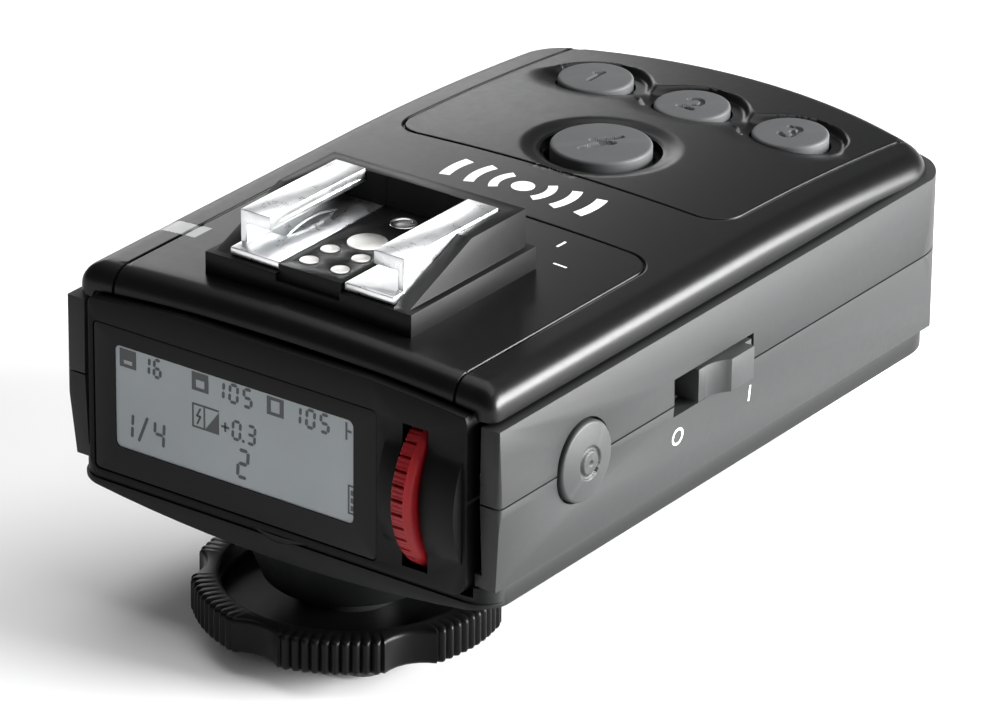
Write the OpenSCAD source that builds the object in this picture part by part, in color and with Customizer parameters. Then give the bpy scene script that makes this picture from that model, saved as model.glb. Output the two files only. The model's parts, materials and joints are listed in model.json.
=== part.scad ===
/* [Body] */
// Width across the parting line
body_w = 54.2; // [53.4:0.2:56]
// Front face of the shells, measured from the foot centre
body_front = -11.7; // [-12.2:0.1:-11.4]
// Rear face of the shells at its middle, measured from the foot centre
body_back = 74.9; // [74:0.1:76]
// Radius of the bowed rear face
back_r = 62; // [55:1:90]
// Corner rounding at the front of the shells
front_corner = 0.6; // [0.4:0.1:1.5]
// Corner rounding at the back of the shells
back_corner = 7.0; // [5:0.5:8]

/* [Heights] */
// Underside of the base plate
base_z = 13.7; // [13.3:0.1:14]
// Joint between base plate and lower shell
lower_z = 15.9; // [15.8:0.1:16.2]
// Parting line between the two shells
seam_z = 25.3; // [25:0.1:25.6]
// Upper rim of the upper shell
rim_z = 33.6; // [33.4:0.1:33.8]
// Highest line of the crowned cover
top_z = 38.3; // [38.1:0.1:38.8]

/* [Cover] */
// Step in from the shells to the cover
cover_inset = 1.0; // [0.6:0.1:1.4]
// Radius of the crown across the cover
crown_r = 315; // [200:5:600]
// Radius of the fall towards the back
fall_r = 356; // [300:2:800]
// Rounding of the long upper edges
cover_fillet = 2.4; // [1.6:0.1:3]
// Thickness of the cover
cover_wall = 1.6; // [1.4:0.1:2]

/* [Front] */
// Width of the front panel
panel_w = 47.2; // [46:0.2:47.4]
// Front face of the front panel
panel_y = -12.45; // [-12.8:0.05:-12.3]
// Window width
window_w = 35.6; // [34:0.2:35.8]
// Window height
window_h = 16.4; // [14:0.2:16.6]
// Radius of the select wheel
dial_r = 9.6; // [9.4:0.1:9.7]
// Width of the select wheel
dial_w = 2.4; // [2:0.1:2.5]
// Number of grooves on the select wheel
dial_grooves = 40; // [24:2:48]

/* [Buttons] */
// Diameter of the three channel buttons
channel_d = 8.2; // [7:0.1:8.6]
// Spacing of the three channel buttons
channel_pitch = 12.55; // [12:0.05:13]
// Diameter of the test button
test_d = 10.8; // [10:0.1:11.4]
// Diameter of the select button on the side
select_d = 8.6; // [8:0.1:9]
// Stroke of every button
stroke = 0.5; // [0.3:0.05:0.6]

/* [Top shoe] */
// Width of the channel that takes a shoe foot
channel_w = 18.7; // [18.6:0.05:18.9]
// Height of the channel under the lips
channel_h = 2.05; // [2:0.05:2.2]
// Gap between the two lips
lip_gap = 12.8; // [12.5:0.1:13.4]

/* [Foot] */
// Width of the foot plate
foot_w = 18.5; // [18.2:0.1:18.6]
// Thickness of the foot plate
foot_t = 2.0; // [1.9:0.05:2]
// Outer radius of the lock wheel
lock_r = 16.2; // [15.5:0.1:17]
// Height of the lock wheel
lock_h = 3.9; // [3.6:0.1:4]
// Lift of the lock wheel when it is undone
lock_lift = 2.0; // [1.6:0.1:2]

/* [Hidden] */
$fn = 96;
half_w = body_w / 2;
inner_hw = half_w - 2.4;
inner_back = body_back - 2.4;
cover_hw = half_w - 0.2 - cover_inset;
cover_front = body_front + 0.4;
cover_back = body_back - 0.6;
cover_back_r = back_r - 0.6;
cover_corner = back_corner - 0.6;
cover_z = rim_z + 0.4;
cover_in_hw = cover_hw - cover_wall;
roof_z = top_z - cover_wall - 0.2;
roof_low_z = top_z - cover_wall - 1.3;
roof_end_z = 34.2;
shoulder_line_z = top_z - 0.71;
line_depth = 0.35;
fall_y = 31.5;
base_hw = half_w - 1.0;
base_corner = 3.0;
gap = 0.05;
far = 200;

panel_hw = panel_w / 2;
panel_back = panel_y + 2.25;
panel_z = 15.0;
panel_top = 35.7;
arch_r = 230;
lip_r = 172;
lip_z = 11.9;
window_x = -22.95;
window_z = 15.75;
window_t = 1.05;
screen_x = -21;
screen_z = 18.3;
screen_w = 31.6;
screen_h = 12.5;
hump_r = 11.7;
hump_out = 1.45;
hump_x0 = 13.8;
hump_x1 = 23.1;
dial_x = 16.2;
dial_y = panel_y - 2.8 + dial_r;
dial_z = 24.1;
axle_r = 1.5;

channel_y = 60.3;
test_y = 43.5;
select_y = 2.4;
hole_gap = 0.25;
slot_y0 = 18.1;
slot_y1 = 32.3;
slot_z0 = 24.0;
slot_z1 = 28.2;
knob_y0 = 22.1;
knob_y1 = 31.5;

board_z = 29.9;
board_t = 1.2;
side_x = 21.3;
cell_r = 5.2;
cell_x = 5.55;
cell_z = 23.3;
post_x = 19;
post_ys = [40, 62];

shoe_z = 37.9;
flange_z = 40.5;
deck_z = 41.45;
lip_z0 = deck_z + channel_h;
lip_top = 45.0;
rail_y0 = -4.6;
rail_y1 = 11.1;
rail_x = channel_w / 2;

stem_r = 5.5;
lock_z = foot_t + 0.1;
lock_floor = lock_z + 0.85;
pocket_z = lock_z + 1.9;
pedestal_z = pocket_z + lock_lift + 0.2;
scallops = 6;

// Plan outline of the body: straight sides, small front corners and a bowed back.
// The back corners overlap the bow a little, so that the two curves cross cleanly.
module plan(hw, y0, y1, r, rf, rb) {
    overlap = 0.12;
    corner_x = hw - rb;
    corner_y = y1 - r + sqrt((r - rb) * (r - rb) - corner_x * corner_x) + overlap;
    meet_x = corner_x * r / (r - rb);
    intersection() {
        union() {
            translate([-hw, y0 + rf]) square([2 * hw, corner_y - y0 - rf]);
            translate([-hw + rf, y0]) square([2 * (hw - rf), rf + 1]);
            translate([-meet_x, corner_y - 1]) square([2 * meet_x, y1 - corner_y + 3]);
            for (s = [-1, 1]) {
                translate([s * (hw - rf), y0 + rf]) circle(rf);
                translate([s * corner_x, corner_y]) circle(rb);
            }
        }
        union() {
            translate([0, y1 - r]) circle(r, $fn = 180);
            translate([-hw - 1, y0 - 1]) square([2 * hw + 2, corner_y - y0 - 2]);
        }
    }
}

// Rounded box outline with separate front and back corner radii.
module outline(hw, y0, y1, rf, rb) {
    translate([-hw, y0 + rf]) square([2 * hw, y1 - y0 - rf - rb]);
    translate([-hw + rf, y0]) square([2 * (hw - rf), rf + 1]);
    translate([-hw + rb, y1 - rb - 1]) square([2 * (hw - rb), rb + 1]);
    for (s = [-1, 1]) {
        translate([s * (hw - rf), y0 + rf]) circle(rf);
        translate([s * (hw - rb), y1 - rb]) circle(rb);
    }
}

// Extrudes a drawing made in X and Z along Y.
module along_y(y0, y1) {
    translate([0, y1, 0]) rotate([90, 0, 0]) linear_extrude(y1 - y0) children();
}

// Extrudes a drawing made in Y and Z along X.
module along_x(x0, x1) {
    translate([x0, 0, 0]) rotate([90, 0, 90]) linear_extrude(x1 - x0) children();
}

module rounded(w, h, r) {
    translate([r, 0]) square([w - 2 * r, h]);
    translate([0, r]) square([w, h - 2 * r]);
    for (x = [r, w - r])
        for (y = [r, h - r])
            translate([x, y]) circle(r);
}

module block(x0, x1, y0, y1, z0, z1) {
    translate([x0, y0, z0]) cube([x1 - x0, y1 - y0, z1 - z0]);
}

// Solid shell body whose sides and front lean.
module leaning(z0, z1, hw0, hw1, y0, y1) {
    intersection() {
        translate([0, 0, z0])
            linear_extrude(z1 - z0)
                plan(max(hw0, hw1), min(y0, y1), body_back, back_r, front_corner, back_corner);
        along_y(-far, far) polygon([[-hw0, z0], [hw0, z0], [hw1, z1], [-hw1, z1]]);
        along_x(-far, far) polygon([[y0, z0], [far, z0], [far, z1], [y1, z1]]);
    }
}

// Space inside a shell.
module shell_hollow(z0) {
    translate([0, 0, z0]) linear_extrude(far)
        plan(inner_hw, -60, inner_back, back_r - 2.4, 1, back_corner - 2.4);
}

// Cross-section of the cover: a flat crown with rounded shoulders.
module crown_section(hw, z0, top, r, fillet) {
    centre_z = top - r;
    shoulder_x = hw - fillet;
    shoulder_z = centre_z + sqrt((r - fillet) * (r - fillet) - shoulder_x * shoulder_x);
    tangent_x = shoulder_x * r / (r - fillet);
    translate([-hw, z0]) square([2 * hw, shoulder_z - z0]);
    intersection() {
        translate([0, centre_z]) circle(r, $fn = 720);
        translate([-tangent_x, z0]) square([2 * tangent_x, top - z0 + 1]);
    }
    for (s = [-1, 1]) translate([s * shoulder_x, shoulder_z]) circle(fillet);
}

// Long section of the cover: flat, then falling towards the back.
module fall_section(y0, y1, z0, top, r, front_r) {
    translate([y0 + front_r, z0]) square([fall_y - y0 - front_r, top - z0]);
    intersection() {
        translate([fall_y, top - r]) circle(r, $fn = 720);
        translate([fall_y - 1, z0]) square([y1 - fall_y + 1, top - z0 + 1]);
    }
    translate([y0, z0]) square([front_r + 1, top - front_r - z0]);
    translate([y0 + front_r, top - front_r]) circle(front_r);
}

// Cone that bevels the top of the bowed back.
module back_edge(foot_z) {
    translate([0, cover_back - cover_back_r, 0])
        cylinder(r1 = cover_back_r + foot_z, r2 = cover_back_r + foot_z - 60, h = 60, $fn = 180);
}

module cover_solid() {
    intersection() {
        along_y(-40, 90) crown_section(cover_hw, cover_z, top_z, crown_r, cover_fillet);
        along_x(-40, 40) fall_section(cover_front, 90, cover_z, top_z, fall_r, 2.2);
        translate([0, cover_back - cover_back_r, cover_z]) cylinder(r = cover_back_r, h = 10, $fn = 180);
        back_edge(34.9);
        translate([0, 0, cover_z])
            linear_extrude(top_z + 1 - cover_z)
                outline(cover_hw, cover_front, cover_back + 0.2, 1.2, 12);
    }
}

// Line drawn around a zone of the cover, open at one end.
module zone_line(y0, y1, r_front, r_back) {
    difference() {
        outline(21.35, y0, y1, r_front, r_back);
        outline(21.05, y0 + 0.3, y1 - 0.3, r_front - 0.3, r_back - 0.3);
    }
}

module engraved_lines() {
    difference() {
        translate([0, 0, shoulder_line_z - 3]) linear_extrude(far) {
            zone_line(-40, 23.6, 1, 3.6);
            zone_line(34.9, 110, 3.6, 1);
        }
        intersection() {
            translate([0, fall_y, top_z - fall_r]) rotate([0, 90, 0])
                cylinder(r = fall_r - line_depth, h = 100, center = true, $fn = 720);
            block(-30, 30, -30, 100, 20, shoulder_line_z - line_depth);
        }
    }
}

// Opening of the status light, from the side up onto the crown.
module lens_block(grow) {
    block(-40, -19.6 + grow, -0.1 - grow, 2.9 + grow, cover_z + 1.4 - grow, 50);
}

module cover_hollow() {
    translate([0, 0, rim_z - 1]) linear_extrude(roof_end_z - rim_z + 1)
        plan(cover_in_hw, cover_front + cover_wall, cover_back - cover_wall, cover_back_r - cover_wall, 1,
            cover_corner - cover_wall);
    block(-22.5, 22.5, cover_front + 2.2, 52, rim_z - 1, roof_z);
    block(-18.2, 18.2, 50, 65.8, rim_z - 1, roof_low_z);
}

module top_cover() {
    color("#1b1c1d") difference() {
        union() {
            cover_solid();
            translate([0, 0, rim_z + 0.02])
                linear_extrude(0.5)
                    plan(cover_hw - 0.45, cover_front + 0.45, cover_back - 0.45, cover_back_r - 0.45, 1,
                        cover_corner - 0.45);
        }
        cover_hollow();
        engraved_lines();
        along_y(-far, panel_back + 0.35) intersection() {
            translate([-panel_hw - 0.25, rim_z - 2]) square([panel_w + 0.5, 6]);
            translate([0, panel_top + 0.35 - arch_r]) circle(arch_r, $fn = 720);
        }
        block(-12.85, 12.85, -7.05, 14.05, shoe_z - 0.02, far);
        translate([0, test_y, 0]) {
            cylinder(r = test_d / 2 + hole_gap, h = far);
            translate([0, 0, top_z - 1.2]) cylinder(r = 6.5, h = 2);
            translate([0, 0, top_z - 0.75]) cylinder(r1 = 6.6, r2 = 8.6, h = 1.0);
        }
        for (i = [-1, 0, 1])
            translate([i * channel_pitch, channel_y, 0]) {
                cylinder(r = channel_d / 2 + hole_gap, h = far);
                translate([0, 0, top_z - 2.1]) cylinder(r1 = 5.5, r2 = 6.2, h = 2.2);
            }
        lens_block(0.04);
        translate([0, 2.9, 0]) cylinder(r = 1.3, h = far);
        for (x = [-11.4, 11.4])
            for (y = [-3.6, 11.4])
                translate([x, y, 0]) cylinder(r = 0.9, h = far);
    }
}

module light_lens() {
    color("#c9ccc9") difference() {
        intersection() {
            cover_solid();
            lens_block(0);
        }
        block(-22.5, 0, -far, far, rim_z, roof_z);
    }
}

module side_openings() {
    translate([0, select_y, seam_z])
        rotate([0, 90, 0]) cylinder(r = select_d / 2 + hole_gap, h = far);
    block(0, far, slot_y0, slot_y1, slot_z0, slot_z1);
}

module upper_shell() {
    color("#232425") difference() {
        union() {
            difference() {
                leaning(seam_z + 0.1, rim_z, half_w, half_w - 0.2, body_front, body_front + 0.1);
                shell_hollow(seam_z - 1);
                block(-panel_hw - 0.25, panel_hw + 0.25, -far, 0, 0, far);
            }
            for (x = [-1, 1])
                for (y = post_ys) {
                    translate([x * post_x, y, seam_z + 0.03])
                        cylinder(r = 2.6, h = board_z - 0.05 - seam_z - 0.03);
                    block(min(x * post_x, x * (inner_hw + 0.5)), max(x * post_x, x * (inner_hw + 0.5)),
                        y - 0.6, y + 0.6, seam_z + 0.5, board_z - 0.5);
                }
        }
        for (x = [-1, 1])
            for (y = post_ys)
                translate([x * post_x, y, 0]) cylinder(r = 1.05, h = far);
        side_openings();
    }
}

module lower_shell() {
    color("#232425") difference() {
        union() {
            difference() {
                leaning(lower_z + 0.03, seam_z - 0.1, half_w - 0.8, half_w, body_front + 0.5,
                    body_front);
                shell_hollow(lower_z + 1.5);
                block(-panel_hw - 0.25, panel_hw + 0.25, -far, panel_back + 0.1, 0, far);
            }
            for (x = [-1, 1])
                for (y = post_ys)
                    translate([x * post_x, y, lower_z + 1])
                        cylinder(r = 2.6, h = seam_z - lower_z - 1.03);
        }
        for (x = [-1, 1])
            for (y = post_ys)
                translate([x * post_x, y, 0]) cylinder(r = 1.25, h = far);
        block(-11, 11, 10.4, 59.6, 0, lower_z + 2);
        block(dial_x - 0.6, dial_x + dial_w + 0.6, -far, 3.2, 0, lower_z + 2);
        translate([0, 0, lower_z - 1]) cylinder(r = 7, h = 4);
        side_openings();
    }
}

module door_track(grow) {
    block(-13.5 - grow, 13.5 + grow, 14 - grow, far, base_z - 1, lower_z + 1);
    block(-14.5 - grow, 14.5 + grow, 14.6 - grow, far, base_z + 0.5 - grow, base_z + 1.1 + grow);
}

module base_plan(y0) {
    plan(base_hw, y0, body_back - 1.0, back_r - 1.0, base_corner, back_corner - 1.0);
}

module base_plate() {
    color("#1f2021") difference() {
        union() {
            translate([0, 0, base_z])
                linear_extrude(lower_z - base_z - 0.03) base_plan(body_front + 0.1);
            intersection() {
                along_y(body_front - 0.2, body_front + 2.4)
                    intersection() {
                        translate([-base_hw, lip_z]) square([2 * base_hw, base_z - lip_z + 0.5]);
                        translate([0, lip_z + lip_r]) circle(lip_r, $fn = 720);
                    }
                linear_extrude(base_z + 2) base_plan(body_front - 0.2);
            }
        }
        block(-panel_hw - 0.25, panel_hw + 0.25, -far, panel_back + 0.1, panel_z - 0.2, far);
        door_track(0.2);
        pedestal_solid(0.06);
        block(dial_x - 0.6, dial_x + dial_w + 0.6, dial_y - 5.8, dial_y + 5.8, base_z + 0.4, far);
        translate([0, 0, base_z - 1]) cylinder(r = 7, h = 5);
        for (x = [-1, 1])
            for (y = post_ys)
                translate([x * post_x, y, 0]) {
                    cylinder(r = 1.25, h = far);
                    cylinder(r = 2.5, h = base_z + 1.45);
                }
    }
}

module battery_door() {
    color("#1f2021") difference() {
        union() {
            intersection() {
                block(-13.5, 13.5, 14, far, base_z, base_z + 1.5);
                linear_extrude(base_z + 3) base_plan(body_front);
            }
            block(-14.5, 14.5, 14.6, body_back - 6, base_z + 0.5, base_z + 1.1);
        }
        for (i = [0:5]) block(-6, 6, 60 + i * 1.6, 60.8 + i * 1.6, base_z - 1, base_z + 0.3);
    }
}

// Turning cone between the body and the lock wheel, cut flush at the front.
module pedestal_solid(grow) {
    intersection() {
        translate([0, 0, pedestal_z - grow])
            cylinder(r1 = 8.9 + grow, r2 = 12.2 + grow, h = base_z + 1.0 - pedestal_z + 2 * grow);
        block(-far, far, body_front - 0.5 - grow, far, 0, far);
    }
}

module front_panel() {
    color("#202122") difference() {
        union() {
            along_y(panel_y, panel_back) intersection() {
                translate([-panel_hw, panel_z]) rounded(panel_w, panel_top - panel_z - 0.3, 1.8);
                translate([0, panel_top - arch_r]) circle(arch_r, $fn = 720);
            }
            intersection() {
                translate([hump_x0, panel_y - hump_out + hump_r, dial_z])
                    rotate([0, 90, 0]) cylinder(r = hump_r, h = hump_x1 - hump_x0);
                block(hump_x0, hump_x1, panel_y - 3, panel_y + 0.5, dial_z - 9, dial_z + 9);
            }
        }
        along_y(-far, panel_y + window_t + 0.15)
            translate([window_x - 0.05, window_z - 0.05])
                rounded(window_w + 0.1, window_h + 0.1, 0.6);
        block(screen_x, screen_x + screen_w, -far, far, screen_z, screen_z + screen_h);
        intersection() {
            translate([dial_x - 0.35, dial_y, dial_z])
                rotate([0, 90, 0]) cylinder(r = dial_r + 0.7, h = dial_w + 0.7);
            block(0, far, -far, far, dial_z - 8.8, dial_z + 8.8);
        }
    }
}

module display_window() {
    color("#3a403b")
        along_y(panel_y + 0.1, panel_y + 0.1 + window_t)
            translate([window_x, window_z]) rounded(window_w, window_h, 0.55);
}

module lcd_panel() {
    color("#9aa3a5") {
        block(-22, 11.4, panel_back + gap, panel_back + 1.8, 17.6, 31.8);
        block(screen_x + 0.15, screen_x + screen_w - 0.15, panel_y + window_t + 0.2, panel_back + 1,
            screen_z + 0.15, screen_z + screen_h - 0.15);
    }
}

module lcd_holder() {
    y0 = panel_back + 1.85;
    color("#e5e7e3") difference() {
        block(-22.6, 12, y0, y0 + 1.9, 16.4 + 1.2, 32.4);
        for (i = [0:3]) block(-20 + i * 7.6, -14.5 + i * 7.6, y0 + 0.8, y0 + 3, 20.5, 29.5);
    }
}

module display_board() {
    y0 = panel_back + 3.8;
    color("#1f5137") difference() {
        block(-23, 12.6, y0, y0 + 1.0, 17.6, 33.0);
        for (x = [-21.4, 11]) translate([x, y0 - 1, 31.2]) rotate([-90, 0, 0]) cylinder(r = 0.8, h = 3);
    }
}

module select_wheel() {
    color("#a01518") translate([dial_x, dial_y, dial_z]) rotate([0, 90, 0]) difference() {
        cylinder(r = dial_r, h = dial_w);
        translate([0, 0, -1]) cylinder(r = axle_r + 0.02, h = dial_w + 2);
        for (a = [0:dial_grooves - 1])
            rotate(a * 360 / dial_grooves)
                translate([dial_r - 0.35, -0.18, -1]) cube([1, 0.36, dial_w + 2]);
    }
}

module wheel_axle() {
    color("#c2c5c8") translate([13.9, dial_y, dial_z]) rotate([0, 90, 0])
        cylinder(r = axle_r, h = 6.6);
}

module wheel_bracket() {
    color("#2b2c2e") difference() {
        union() {
            block(13.4, 15.6, panel_back + 0.1, 5.6, 20.4, 28);
            block(19.3, 20.9, panel_back + 0.1, 5.6, 20.4, 28);
            block(13.4, 20.9, 4.5, 5.6, 19, 29.2);
        }
        translate([13, dial_y, dial_z]) rotate([0, 90, 0]) cylinder(r = axle_r + 0.06, h = 9);
    }
}

module shoe_base() {
    color("#1a1b1c") difference() {
        union() {
            block(-12.8, 12.8, -7, 14, shoe_z, flange_z);
            difference() {
                block(-12, 12, -6.2, 13.2, flange_z, lip_top - 0.35);
                block(-rail_x - 0.9, rail_x + 0.9, -far, 11.3, flange_z + 0.1, far);
                for (s = [-1, 1])
                    translate([0, -6.2, flange_z]) rotate([-68, 0, 0])
                        translate([-far, -far, 0]) cube([2 * far, far, far]);
            }
        }
        block(-3.95, 3.95, -far, 11.4, flange_z - 0.9, far);
        for (x = [-11.4, 11.4])
            for (y = [-3.6, 11.4])
                translate([x, y, 0]) cylinder(r = 0.75, h = flange_z - 0.5);
        translate([0, 2.9, 0]) cylinder(r = 1.3, h = far);
    }
}

// Bent strip: floor, side wall and lip of the channel.
module shoe_rails() {
    color("#d9dcdf") for (s = [-1, 1]) scale([s, 1, 1]) {
        difference() {
            union() {
                block(4.1, rail_x + 0.8, -6.3, rail_y1, deck_z - 0.85, deck_z);
                block(rail_x, rail_x + 0.8, rail_y0, rail_y1, deck_z - 0.5, lip_top);
                block(lip_gap / 2, rail_x + 0.5, rail_y0, rail_y1, lip_z0, lip_top);
            }
            block(lip_gap / 2 - 0.2, lip_gap / 2 + 0.35, rail_y0 + 1.6, rail_y1 - 1, lip_z0 + 0.55,
                lip_z0 + 0.75);
        }
    }
}

module shoe_deck() {
    color("#151617") difference() {
        block(-3.9, 3.9, -6.6, 11.3, flange_z - 0.85, deck_z - 0.05);
        translate([0, 2.9, 0]) cylinder(r = 2.12, h = far);
        for (x = [-1.93, 1.93])
            for (y = [-0.7, -4.1]) translate([x, y, 0]) cylinder(r = 1.05, h = far);
        translate([0, 8.9, 0]) cylinder(r = 1.45, h = far);
    }
}

module shoe_springs() {
    color("#c7cacd") for (s = [-1, 1]) scale([s, 1, 1]) along_x(7.2, 9.1) difference() {
        translate([3.2, deck_z - 11.2]) circle(r = 12, $fn = 180);
        translate([3.2, deck_z - 11.2]) circle(r = 11.75, $fn = 180);
        translate([-30, -40]) square([60, 40 + deck_z + 0.03]);
    }
}

module centre_contact() {
    color("#d6d3c8") translate([0, 2.9, 0]) {
        translate([0, 0, flange_z - 0.8]) cylinder(r = 2.08, h = deck_z - flange_z + 0.85);
        translate([0, 0, 36.9]) cylinder(r = 1.1, h = flange_z - 37.5);
    }
}

module side_contacts() {
    color("#d6d3c8") for (x = [-1.93, 1.93])
        for (y = [-0.7, -4.1])
            translate([x, y, flange_z - 0.8]) cylinder(r = 1.0, h = deck_z - flange_z + 0.85);
}

module screw(head_r, head_h, shaft_r, shaft_h) {
    difference() {
        cylinder(r = head_r, h = head_h);
        for (a = [0, 90]) rotate(a) translate([-head_r * 0.6, -0.22, -0.5]) cube([head_r * 1.2, 0.44, 0.9]);
    }
    translate([0, 0, head_h - 0.1]) cylinder(r = shaft_r, h = shaft_h + 0.1);
}

module shoe_screws() {
    color("#8d9093") for (x = [-11.4, 11.4])
        for (y = [-3.6, 11.4])
            translate([x, y, 35.3]) screw(1.5, 0.9, 0.7, 3.6);
}

module case_screws() {
    color("#8d9093") for (x = [-1, 1])
        for (y = post_ys) translate([x * post_x, y, base_z + 0.2]) screw(2.2, 1.2, 1.0, 13.2);
}

module board_screws() {
    color("#8d9093") for (x = [-1, 1])
        for (y = post_ys)
            translate([x * post_x, y, board_z + board_t + 0.95]) rotate([180, 0, 0])
                screw(1.8, 0.9, 0.9, 2.6);
}

// Cap, retaining flange and stem of a button on the cover.
module cap_button(d, under, top) {
    translate([0, 0, under - 0.9]) cylinder(r = d / 2 + 1.0, h = 0.8);
    translate([0, 0, under - 0.2]) cylinder(r = d / 2, h = top - under + 0.2 - 0.3);
    translate([0, 0, top - 0.3]) cylinder(r1 = d / 2, r2 = d / 2 - 0.3, h = 0.3);
}

module button_1() {
    color("#77797c") translate([-channel_pitch, channel_y, 0]) cap_button(channel_d, 35.5, 37.25);
}

module button_2() {
    color("#77797c") translate([0, channel_y, 0]) cap_button(channel_d, 35.5, 37.25);
}

module button_3() {
    color("#77797c") translate([channel_pitch, channel_y, 0]) cap_button(channel_d, 35.5, 37.25);
}

module test_button() {
    color("#77797c") translate([0, test_y, 0]) {
        cap_button(test_d, 36.3, 38.5);
        translate([0, 0, 34.6]) cylinder(r = 2, h = 1);
    }
}

module select_button() {
    color("#85878a") translate([0, select_y, seam_z]) rotate([0, 90, 0]) {
        translate([0, 0, inner_hw - 0.8]) cylinder(r = select_d / 2 + 0.9, h = 0.7);
        translate([0, 0, inner_hw - 0.2]) cylinder(r = select_d / 2, h = half_w + 0.3 - inner_hw + 0.2);
        intersection() {
            translate([0, 0, half_w + 0.9 - 14]) sphere(r = 14);
            translate([0, 0, inner_hw + 0.2]) cylinder(r = select_d / 2, h = 6);
        }
    }
}

module power_slider() {
    color("#85878a") {
        block(inner_hw - 0.9, inner_hw - 0.2, 20, 33.6, slot_z0 - 2, slot_z1 + 2);
        block(inner_hw - 0.5, half_w + 0.2, knob_y0, knob_y1, slot_z0 + 0.3, slot_z1 - 0.3);
        intersection() {
            block(half_w - 1, half_w + 2, knob_y0, knob_y1, slot_z0 + 0.3, slot_z1 - 0.3);
            along_z_ramp();
        }
    }
}

// Finger ramp of the slider, drawn in X and Y.
module along_z_ramp() {
    translate([0, 0, slot_z0]) linear_extrude(slot_z1 - slot_z0)
        difference() {
            translate([half_w - 1, knob_y0 + 1]) square([2.4, 7.2]);
            translate([half_w + 4.4, knob_y0 + 1.2]) circle(r = 4.2);
        }
}

module slide_switch() {
    color("#9a9da0") block(side_x + 1.05, inner_hw - 1.2, 21, 31, slot_z0 - 0.4, slot_z1 + 0.4);
}

module main_board() {
    color("#1f5137") difference() {
        block(-21, 20.9, 6, 65, board_z, board_z + board_t);
        for (x = [-1, 1])
            for (y = post_ys) translate([x * post_x, y, 0]) cylinder(r = 1.1, h = far);
    }
}

module side_board() {
    color("#1f5137") block(side_x, side_x + 1.0, -3, 36, 18.2, board_z - 0.3);
}

module push_switch() {
    translate([-3, -3, 0]) cube([6, 6, 1.9]);
    translate([0, 0, 1.8]) cylinder(r = 1.7, h = 0.9);
}

module push_switches() {
    color("#b9bcbf") translate([0, 0, board_z + board_t + 0.02]) {
        translate([0, test_y, 0]) push_switch();
        for (i = [-1, 0, 1]) translate([i * channel_pitch, channel_y, 0]) push_switch();
    }
}

module side_push_switch() {
    color("#b9bcbf") translate([side_x + 1.02, select_y, seam_z]) rotate([0, 90, 0]) {
        translate([-2.6, -2.6, 0]) cube([5.2, 5.2, 0.6]);
        cylinder(r = 1.5, h = 0.8);
    }
}

module radio_module() {
    color("#b5b8bb") block(-18, -5, 20, 36, board_z + board_t + 0.02, board_z + board_t + 2.1);
}

module antenna() {
    color("#c9a868") {
        for (i = [0:4])
            block(6 + i * 2.4, 7 + i * 2.4, 26, 33, board_z + board_t + 0.02, board_z + board_t + 0.5);
        for (i = [0:3])
            block(6 + i * 2.4, 9.4 + i * 2.4, i % 2 == 0 ? 32 : 26, i % 2 == 0 ? 33 : 27,
                board_z + board_t + 0.02, board_z + board_t + 0.5);
    }
}

module battery_tray() {
    color("#2b2c2e") difference() {
        block(-11.8, 11.8, 9.6, 60.4, lower_z + 1.55, 29.5);
        block(-11, 11, 10.4, 59.6, lower_z, 28.8);
    }
    color("#2b2c2e") block(-0.3, 0.3, 14.5, 57, 26.5, 29.0);
}

module cells() {
    color("#b08a3c") for (s = [-1, 1])
        translate([s * cell_x, s > 0 ? 57.0 : 13.0, cell_z]) rotate([s > 0 ? 90 : -90, 0, 0]) {
            cylinder(r = cell_r, h = 43.2);
            translate([0, 0, 43]) cylinder(r = 1.9, h = 1.2);
        }
}

module cell_springs() {
    color("#cfd2d4") for (s = [-1, 1])
        translate([s * cell_x, s > 0 ? 59.2 : 10.8, cell_z]) rotate([s > 0 ? 90 : -90, 0, 0]) {
            for (i = [0:2])
                translate([0, 0, 0.3 + i * 0.45]) rotate_extrude() translate([3.2 - i * 0.25, 0]) circle(0.3);
        }
}

module cell_plates() {
    color("#cfd2d4") for (s = [-1, 1]) {
        translate([s * cell_x - 4, s > 0 ? 59.25 : 10.45, 19]) cube([8, 0.3, 8.4]);
        translate([s * cell_x - 4, s > 0 ? 10.45 : 59.25, 19]) cube([8, 0.3, 8.4]);
    }
}

module pedestal() {
    color("#1a1b1c") difference() {
        union() {
            pedestal_solid(0);
            translate([0, 0, base_z + 0.9]) cylinder(r = 6.9, h = lower_z + 0.6 - base_z);
        }
        translate([0, 0, -1]) cylinder(r = stem_r + 0.02, h = far);
    }
}

module foot_stem() {
    color("#3b3c3e") difference() {
        translate([0, 0, foot_t + 0.02]) cylinder(r = stem_r, h = lower_z + 1.5 - foot_t);
        translate([0, 0, 0]) cylinder(r = 3.9, h = far);
    }
}

module foot_plate() {
    color("#3b3c3e") difference() {
        linear_extrude(foot_t)
            translate([-foot_w / 2, -foot_w / 2]) rounded(foot_w, foot_w, 2.4);
        translate([0, 0, -1]) cylinder(r = 1.55, h = 5);
        for (x = [-1.93, 1.93])
            for (y = [-3.6, -7.0]) translate([x, y, -1]) cylinder(r = 0.95, h = 5);
    }
}

module foot_contacts() {
    color("#d0b06a") {
        cylinder(r = 1.5, h = foot_t + 3.1);
        for (x = [-1.93, 1.93])
            for (y = [-3.6, -7.0])
                translate([x, y, 0]) cylinder(r = 0.9, h = foot_t - 0.02);
    }
}

module scallop_ring(r0) {
    difference() {
        circle(lock_r);
        for (i = [0:scallops - 1])
            rotate(30 + i * 360 / scallops) translate([lock_r + 3.4, 0]) circle(4.7);
        circle(r0);
    }
}

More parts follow.
